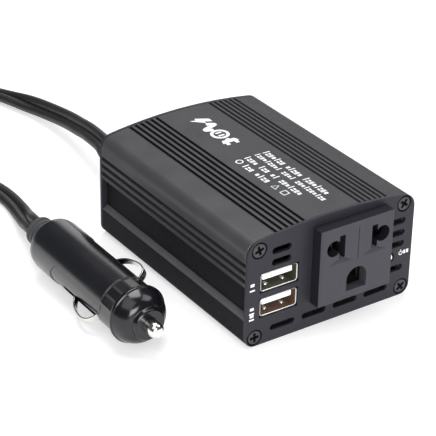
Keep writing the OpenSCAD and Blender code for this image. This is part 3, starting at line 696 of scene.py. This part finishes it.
def make_shell(node, name, z, inside_shade):
    """A folded port shell with a flared lip, an inside darkened with painted shade, and sprung dimples in its
    floor and roof.
    """
    def rings(bm, steps):
        made = [[bm.verts.new(on_plate(PORT_X + p.x, depth, z + p.y))
                 for p in round_box(SHELL_WIDTH + 2 * grow, SHELL_HEIGHT + 2 * grow, 0.75 + grow)] for grow,
                 depth in steps]
        ring_faces(bm, made)
        return made

    bm = bmesh.new()
    shell = rings(bm, [(0, 14.5), (0, 1.5), (0.1, 1.28), (0.34, 0.6), (0.4, 0.42), (0.38, 0.32), (0.3, 0.27),
                       (0.16, 0.32), (0.06, 0.45)])
    bm.faces.new(shell[0])
    for side in (-1, 1):
        for up in (-1, 1):
            wall = up * (SHELL_HEIGHT / 2 - SHELL_SKIN - 0.04)
            dome = [[bm.verts.new(on_plate(PORT_X + side * 3.3 + r * math.cos(a),
                3.3 + 1.15 * r * math.sin(a),
                                           z + wall - up * lift))
                     for a in (2 * math.pi * i / 16 for i in range(16))]
                    for r, lift in ((0.95, -0.02), (0.9, 0.14), (0.72, 0.34), (0.42, 0.46), (0.15, 0.5))]
            ring_faces(bm, dome)
            bm.faces.new(dome[-1])
    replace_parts(finish_piece(bm, name, "inverter", "tinplate", keep=False), node)
    bm = bmesh.new()
    inside = rings(bm, [(0.06, 0.45), (-0.26, 1.35), (-0.36, 1.72), (-0.36, 13.9)])
    bm.faces.new(inside[-1])
    finish_piece(bm, name + "_lining", "inverter", inside_shade, keep=False)


# The insides of the ports take dark olive and brown copies of the tinplate: painted shade.
make_shell("usb_shell_upper", "port_shell_upper", PORT_Z[0], "tinplate_olive_painted_shade")
make_shell("usb_shell_lower", "port_shell_lower", PORT_Z[1], "tinplate_brown_painted_shade")
softened("usb_tongues", 0.22, "port_tongues")


def make_port_contacts():
    """Four gold strips under each tongue."""
    bm = bmesh.new()
    for z in PORT_Z:
        for x in (-3.5, -1.0, 1.0, 3.5):
            place = Matrix.Translation(on_plate(PORT_X + x, 6.6, z + 0.2))
            bmesh.ops.create_cube(bm, size=1, matrix=place @ Matrix.Diagonal((1.0 * MM, 7.4 * MM, 0.14 * MM,
            1)))
    bmesh.ops.bevel(bm, geom=bm.edges[:], offset=0.04 * MM, segments=1, affect="EDGES")
    finish_piece(bm, "port_contacts", "inverter", "brass")


make_port_contacts()

LAMP_AT = (23.2, 15.7)
on_lamp = Matrix.Translation((LAMP_AT[0] * MM, front_low.y, LAMP_AT[1] * MM))
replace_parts(lathe("lamp_ring", [(1.32, -0.4), (1.95, -0.4), (1.95, 0), (1.6, 0.02), (1.6, 2.3), (1.32, 2.3),
    (1.32, -0.4)],
                  "inverter", "black_and_painted_shade", on_lamp, count=48, rounding=0.16), "led_bezel")
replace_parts(lathe("lamp", [(0, -0.5), (0.5, -0.49), (0.85, -0.44), (1.12, -0.3), (1.26, -0.05), (1.26, 2.35),
                           (1.78, 2.37), (1.78, 3.1), (0, 3.1)], "inverter", "led", on_lamp, count=48,
                           rounding=0.2),
            "led_lens")

# ---------------------------------------------------------------- strain relief and plug

PLUG_X, PLUG_Z, PLUG_ROLL = -58, 9.9, 28.5
NOSE_Y = front_low.y / MM + 14.5
on_plug = (Matrix.Translation(Vector((PLUG_X, NOSE_Y, PLUG_Z)) * MM)
@ Matrix.Rotation(math.radians(-PLUG_ROLL), 4, "Y"))


def ribbed(start, end, count, wide, narrow, depth):
    """Points of a taper from wide to narrow with rounded ribs along it."""
    made = []
    pitch = (end - start) / count
    for i in range(count):
        s = start + i * pitch
        r = wide + (narrow - wide) * i / count
        made += [(r, s), (r - 0.1, s + 0.58 * pitch), (r - depth, s + 0.68 * pitch),
        (r - depth, s + 0.94 * pitch)]
    return made


GLAND_AT = (-15, 14)
on_gland = Matrix.Translation((GLAND_AT[0] * MM, rear_high.y, GLAND_AT[1] * MM))
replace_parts(lathe("strain_relief", [
    (0, -6.3), (4.5, -6.3), (5.6, -5.1), (5.6, -1.35), (4.5, -1.35), (4.5, 0.05), (6.6, 0.05), (6.6, 1.5),
    (6, 2)]
    + ribbed(2.4, 15, 6, 5.5, 4.35, 0.6) + [(4.1, 15), (3.9, 15.9), (0, 15.9)],
    "inverter", "boot_rubber", on_gland, rounding=0.22), "cord_gland")
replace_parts(lathe("plug_strain_relief", [
    (0, 62.05), (5.3, 62.05), (5.6, 62.6), (5.6, 64.4), (4.9, 64.8), (4.9, 65.5), (5.4, 65.8), (5.4, 67),
    (4.6, 67.3),
    (4.6, 68), (5.2, 68.3), (5.1, 69.5), (4.4, 70), (0, 70)], nodes["plug_boot"]["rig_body"], "boot_rubber",
    on_plug,
    rounding=0.3), "plug_boot")
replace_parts(lathe("nose", [
    (2.7, 0.05), (5.0, 0), (5.4, 0.35), (5.5, 1.7), (6.3, 2), (7.05, 2.45), (7.7, 3.1), (8.25, 3.85),
    (8.7, 4.7),
    (9.08, 5.6), (9.36, 6.4), (9.52, 7), (9.86, 7.22), (9.95, 7.5), (9.9, 8.05), (9.85, 8.38), (5.2, 8.4),
    (5.2, 14.9), (4.3, 14.9), (4.3, 3.4), (2.7, 3.4),
    (2.7, 0.05)], nodes["nose_cap"]["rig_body"], "plug_gloss", on_plug, count=128, rounding=0.3), "nose_cap")
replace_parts(lathe("tip_pin", [
    (0, -5.2), (0.9, -5.16), (1.6, -4.95), (2.15, -4.5), (2.45, -3.9), (2.6, -3.1), (2.62, -2.6),
    (2.62, 4.22),
    (4.1, 4.22), (4.1, 5.2), (1.6, 5.2), (1.6, 7.2), (0, 7.2)], nodes["centre_pin"]["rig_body"], "nickel",
    on_plug,
    rounding=0.3), "centre_pin")
# The barrel's rounded edges take a lighter material: a painted highlight.
softened("plug_barrel", 0.15, "barrel", "plug_satin", edge_highlight="plug_painted_highlight", merge=0.2)
softened("side_spring_left", 0.09, "leaf_left")
softened("side_spring_right", 0.09, "leaf_right")

# ---------------------------------------------------------------- posts under the board

BOARD_POSTS = [(-24, -33), (24, -33), (-24, 30), (24, 30)]

for post, post_at in enumerate(BOARD_POSTS):
    stand = Matrix.Translation((post_at[0] * MM, post_at[1] * MM, 0)) @ Matrix.Rotation(math.pi / 2, 4, "X")
    lathe(f"board_post_{post}", [(0, 1.9), (2.6, 1.9), (2.6, 7), (1.2, 7), (1.2, 3), (0, 3)], "inverter",
        "anodised_base",
          stand, count=32, rounding=0.2)

# ---------------------------------------------------------------- prints: plain marks in place of lettering

CROWN, ARCH = 39.4, 180
INK = 0.035


def on_roof(u, v):
    """A point of a roof print: u runs towards the front, v to the right."""
    return Vector((v, -u, CROWN - ARCH + math.sqrt(ARCH * ARCH - v * v) + INK)) * MM


def on_front(u, v):
    """A point of a front print: u runs to the right, v up."""
    return Vector((u * MM, front_low.y - INK * MM, v * MM))


def add_shape(bm, corners, place):
    """A filled outline with convex corners."""
    bm.faces.new([bm.verts.new(place(u, v)) for u, v in corners])


def add_bar(bm, u, v, width, height, place):
    add_shape(bm, [(u, v), (u + width, v), (u + width, v + height), (u, v + height)], place)


def add_line(bm, points, width, place, closed=False):
    """A stroke of even width through the points."""
    points = [Vector(p) for p in points]
    count = len(points)
    sides = []
    for i, here in enumerate(points):
        before = points[i - 1] if closed or i else here
        after = points[(i + 1) % count] if closed or i < count - 1 else here
        along = (after - before).normalized()
        across = Vector((-along.y, along.x)) * width / 2
        sides.append([bm.verts.new(place(*(here + across))), bm.verts.new(place(*(here - across)))])
    for a, b in zip(sides, sides[1:] + sides[:1] if closed else sides[1:]):
        bm.faces.new((a[0], b[0], b[1], a[1]))


def ring_points(u, v, radius, start=0, turn=360, count=24):
    return [(u + radius * math.cos(math.radians(start + turn * i / count)),
             v + radius * math.sin(math.radians(start + turn * i / count))) for i in range(count)]


def add_marks(bm, start, end, middle, height, words, place):
    """A row of small plain marks grouped like words, between start and end."""
    cells = sum(words) + len(words) - 1
    pitch = (end - start) / cells
    low = middle - height / 2
    cell = 0
    for number, length in enumerate(words):
        for i in range(length):
            u = start + cell * pitch
            kind = (5 * cell + 3 * number) % 4
            if kind == 0:
                add_bar(bm, u + 0.3 * pitch, low, 0.3 * pitch, height, place)
            elif kind == 1:
                add_bar(bm, u + 0.1 * pitch, low, 0.74 * pitch, 0.28 * height, place)
                add_bar(bm, u + 0.1 * pitch, low + 0.46 * height, 0.74 * pitch, 0.28 * height, place)
            elif kind == 2:
                add_bar(bm, u + 0.1 * pitch, low, 0.28 * pitch, 0.78 * height, place)
                add_bar(bm, u + 0.5 * pitch, low, 0.28 * pitch, 0.78 * height, place)
            else:
                add_bar(bm, u + 0.12 * pitch, low + 0.1 * height, 0.68 * pitch, 0.55 * height, place)
            cell += 1
        cell += 1


def big_symbols(bm):
    """A bolt, a wave, a socket and a plug, in a row on the roof."""
    start, low, tall = -36.2, -3.4, 6.8
    add_shape(bm, [(start + 2.4, low + tall), (start, low + 2.4), (start + 2.6, low + 2.4),
        (start + 4.7, low + tall)],
              on_roof)
    add_shape(bm, [(start + 0.7, low), (start + 4.9, low + 4.3), (start + 2, low + 4.3)], on_roof)
    wave = start + 5.8
    add_line(bm, [(wave + 4.6 * i / 24, 2.5 * math.sin(2 * math.pi * i / 24)) for i in range(25)], 1.8,
    on_roof)
    socket = start + 14.2
    add_line(bm, ring_points(socket, 0, 2.75), 1.1, on_roof, closed=True)
    for side in (-1, 1):
        add_bar(bm, socket + side * 1.0 - 0.4, -1.2, 0.8, 2.4, on_roof)
    plug = start + 18.2
    add_bar(bm, plug, -0.75, 0.8, 1.5, on_roof)
    add_shape(bm, [(plug + 0.7, -2.4), (plug + 2.7, -3.2), (plug + 2.7, 3.2), (plug + 0.7, 2.4)], on_roof)
    for v in (-2.4, 1.1):
        add_bar(bm, plug + 2.65, v, 1.6, 1.3, on_roof)


# Rows of roof marks: start, end, middle, height, and how many marks each group has
ROOF_ROWS = [
    (-3.75, 30.85, 5.5, 2.75, (7, 5, 8)),
    (-3.7, 33.75, 2.0, 2.3, (9, 4, 10)),
    (-3.7, 26.8, -2.0, 2.5, (4, 3, 2, 7)),
]
# Beside each port: the port mark's foot, and how far up each bar lies
PORT_MARKS = [(20.4, (0, 1.7)), (9.9, (0, 1.1, 2.2, 3.6))]
PORT_MARK_X = -31.4


def make_prints():
    bm = bmesh.new()
    big_symbols(bm)
    for row in ROOF_ROWS:
        add_marks(bm, *row, on_roof)
    add_line(bm, ring_points(-2.1, -5.8, 1.15), 0.4, on_roof, closed=True)
    add_marks(bm, 0.6, 14.5, -5.8, 2.5, (3, 4), on_roof)
    add_line(bm, [(17, -6.9), (19.4, -6.9), (18.2, -4.7)], 0.4, on_roof, closed=True)
    add_line(bm, [(21.8, -6.9), (24, -6.9), (24, -4.7), (21.8, -4.7)], 0.4, on_roof, closed=True)
    finish_piece(bm, "roof_print", "inverter", "print", keep=False)
    bm = bmesh.new()
    for z, marks in PORT_MARKS:
        for number, up in enumerate(marks):
            add_bar(bm, PORT_MARK_X + 0.25 * (number % 2), z + up, 1.9 - 0.45 * (number % 2),
                0.55 + 0.45 * (number % 2),
                    on_front)
    add_line(bm, ring_points(28, 16.1, 0.68, start=120, turn=300), 0.32, on_front)
    add_bar(bm, 27.84, 16.3, 0.32, 1.0, on_front)
    for u in (29.1, 30.3):
        add_bar(bm, u, 15.5, 0.85, 1.3, on_front)
    finish_piece(bm, "front_print", "inverter", "print", keep=False)


make_prints()

# ---------------------------------------------------------------- light and floor


def area_light(name, toward, distance, size, power, color=(1, 1, 1), aim=(0, 0, 0.02)):
    """A soft panel in the direction toward from the object, facing it."""
    data = bpy.data.lights.new(name, "AREA")
    data.shape = "RECTANGLE"
    data.size, data.size_y = size
    data.energy = power
    data.color = color
    light = bpy.data.objects.new(name, data)
    at = Vector(aim) + Vector(toward).normalized() * distance
    light.matrix_world = Matrix.Translation(at) @ (Vector(aim) - at).to_track_quat("-Z",
    "Y").to_matrix().to_4x4()
    light.visible_camera = False
    bpy.context.scene.collection.objects.link(light)


def make_stage():
    bm = bmesh.new()
    bmesh.ops.create_grid(bm, x_segments=2, y_segments=2, size=4)
    mesh = bpy.data.meshes.new("floor")
    bm.to_mesh(mesh)
    bm.free()
    mesh.materials.append(shader("floor", (0.6, 0.6, 0.6), 0, 0.7, grain=3, grain_depth=0.001, shade=0.01,
        blotch=90,
                                 Emission_Color=(1, 1, 1, 1), Emission_Strength=0.5))
    floor = bpy.data.objects.new("floor", mesh)
    bpy.context.scene.collection.objects.link(floor)
    world = bpy.data.worlds.new("studio")
    world.use_nodes = True
    background = world.node_tree.nodes["Background"]
    background.inputs["Color"].default_value = (0.9, 0.95, 1, 1)
    background.inputs["Strength"].default_value = 0.12
    bpy.context.scene.world = world
    bpy.context.scene.view_settings.view_transform = "Standard"
    area_light("overhead", (0.08, 0.25, 0.96), 1.5, (0.9, 0.9), 18)
    area_light("left_high", (-0.55, -0.2, 0.81), 1.5, (1.2, 1.0), 6)
    area_light("right_high", (0.55, -0.3, 0.78), 1.5, (0.8, 0.8), 6)
    area_light("front_left", (-0.38, -0.85, 0.36), 1.5, (0.9, 0.6), 16)
    area_light("rear_right", (0.6, 0.72, 0.3), 1.7, (1.1, 0.8), 4)


make_stage()
